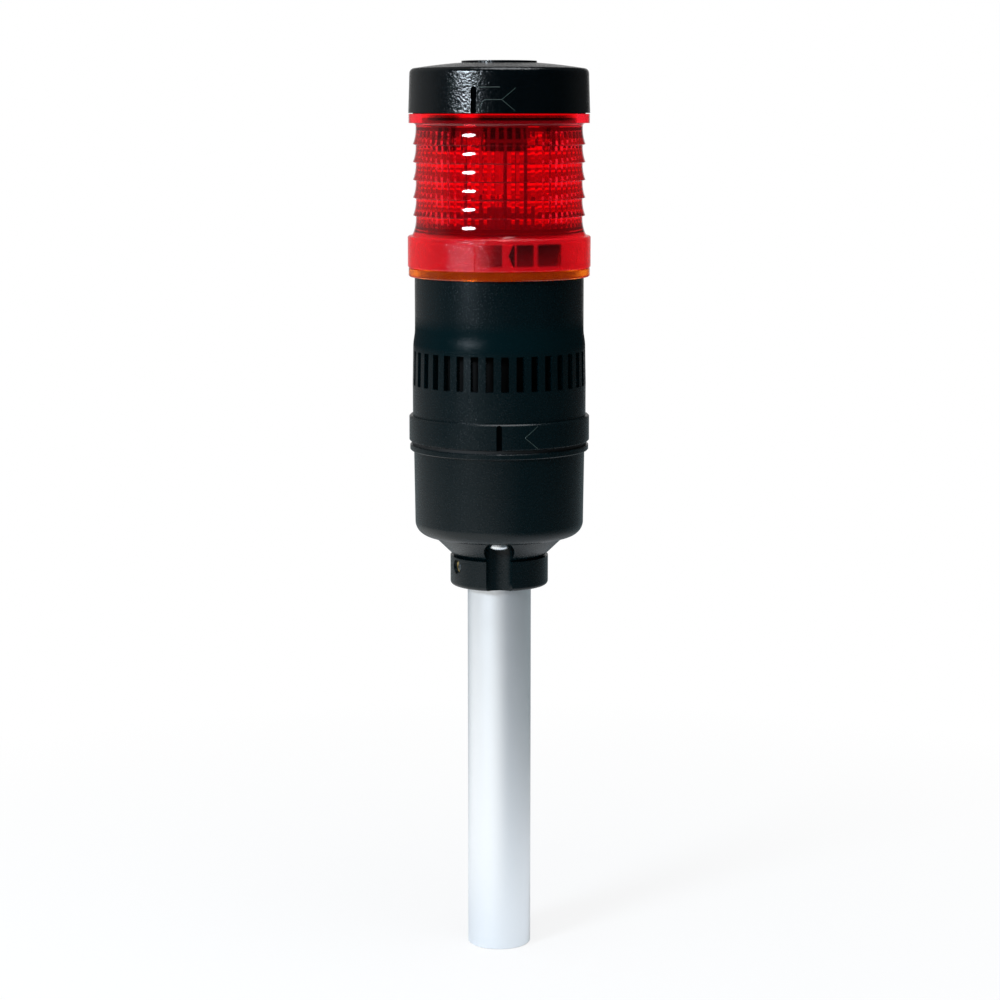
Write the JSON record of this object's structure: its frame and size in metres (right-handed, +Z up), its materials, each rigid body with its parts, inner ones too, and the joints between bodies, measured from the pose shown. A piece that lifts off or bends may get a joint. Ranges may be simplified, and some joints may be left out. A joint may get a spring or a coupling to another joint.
{
  "type": "stack light",
  "caption": "Pole-mounted stack light: a red fluted beacon over a slotted sounder, in twist-lock modules under a domed cap.",
  "frame": {"origin": "centre of the pole's lower end", "axes": "+Z up the pole to the cap, -Y the front with the sounder's line mark and a driver channel, +X to the right seen from the front"},
  "size_m": [0.071, 0.071, 0.3503],
  "materials": {
    "pole_aluminium": "satin anodised tube",
    "black_plastic": "moulded, fine matt texture",
    "cap_plastic": "moulded, semi-gloss",
    "inner_plastic": "moulded, plain",
    "red_lens": "clear moulded red",
    "amber_seal": "translucent amber red",
    "black_rubber": "moulded rubber",
    "zinc_steel": "bright zinc plated",
    "brass": "turned",
    "spring_bronze": "stamped spring bronze",
    "terminal_grey": "moulded grey",
    "driver_case": "closed can",
    "circuit_board": "solder resist",
    "control_body": "moulded blue",
    "control_white": "moulded white",
    "dark_rail": "darkened strip",
    "socket_plastic": "heat-resisting moulding",
    "nickel": "nickel plated",
    "lamp_white": "moulded white",
    "led_board": "white solder resist",
    "led_chip": "encapsulated"
  },
  "bodies": {
    "base": {"pole_tube": "pole_aluminium", "pole_adapter": "black_plastic", "adapter_screws": "zinc_steel", "adapter_inserts": "brass", "set_screws": "zinc_steel", "set_screw_sleeves": "brass", "base_housing": "black_plastic", "base_contact_plate": "inner_plastic", "base_contact_springs": "spring_bronze", "terminal_block": "terminal_grey", "terminal_screws": "zinc_steel", "base_seal": "black_rubber"},
    "sounder": {"sounder_housing": "black_plastic", "sounder_carrier": "inner_plastic", "sounder_contact_pads": "spring_bronze", "sound_horn": "inner_plastic", "sound_driver": "driver_case", "driver_diaphragm": "brass", "sounder_board": "circuit_board", "volume_control": "control_body", "tone_switch": "control_body", "sounder_contact_plate": "inner_plastic", "sounder_contact_springs": "spring_bronze", "light_seal": "amber_seal"},
    "volume_dial": {"volume_dial": "control_white"},
    "tone_lever": {"tone_lever": "control_white"},
    "light": {"lens": "red_lens", "light_plate": "inner_plastic", "light_contact_pads": "spring_bronze", "contact_rails": "dark_rail", "crown_plate": "inner_plastic", "lamp_socket": "socket_plastic", "lamp_cap": "nickel", "lamp_column": "lamp_white", "led_boards": "led_board", "led_chips": "led_chip", "cap_seal": "black_rubber"},
    "cap": {"top_cap": "cap_plastic"}
  },
  "joints": [
    {"name": "sounder_twist", "type": "hinge", "parent": "base", "child": "sounder", "pos_m": [0, 0, 0.2039], "axis": [0, 0, 1], "range_deg": [0, 16]},
    {"name": "light_twist", "type": "hinge", "parent": "sounder", "child": "light", "pos_m": [0, 0, 0.2715], "axis": [0, 0, 1], "range_deg": [0, 16]},
    {"name": "cap_twist", "type": "hinge", "parent": "light", "child": "cap", "pos_m": [0, 0, 0.3305], "axis": [0, 0, 1], "range_deg": [0, 16]},
    {"name": "volume_turn", "type": "hinge", "parent": "sounder", "child": "volume_dial", "pos_m": [0.0215, 0, 0.2721], "axis": [0, 0, 1], "range_deg": [-135, 135]},
    {"name": "tone_slide", "type": "slide", "parent": "sounder", "child": "tone_lever", "axis": [0, -1, 0], "range_m": [0, 0.003]}
  ]
}
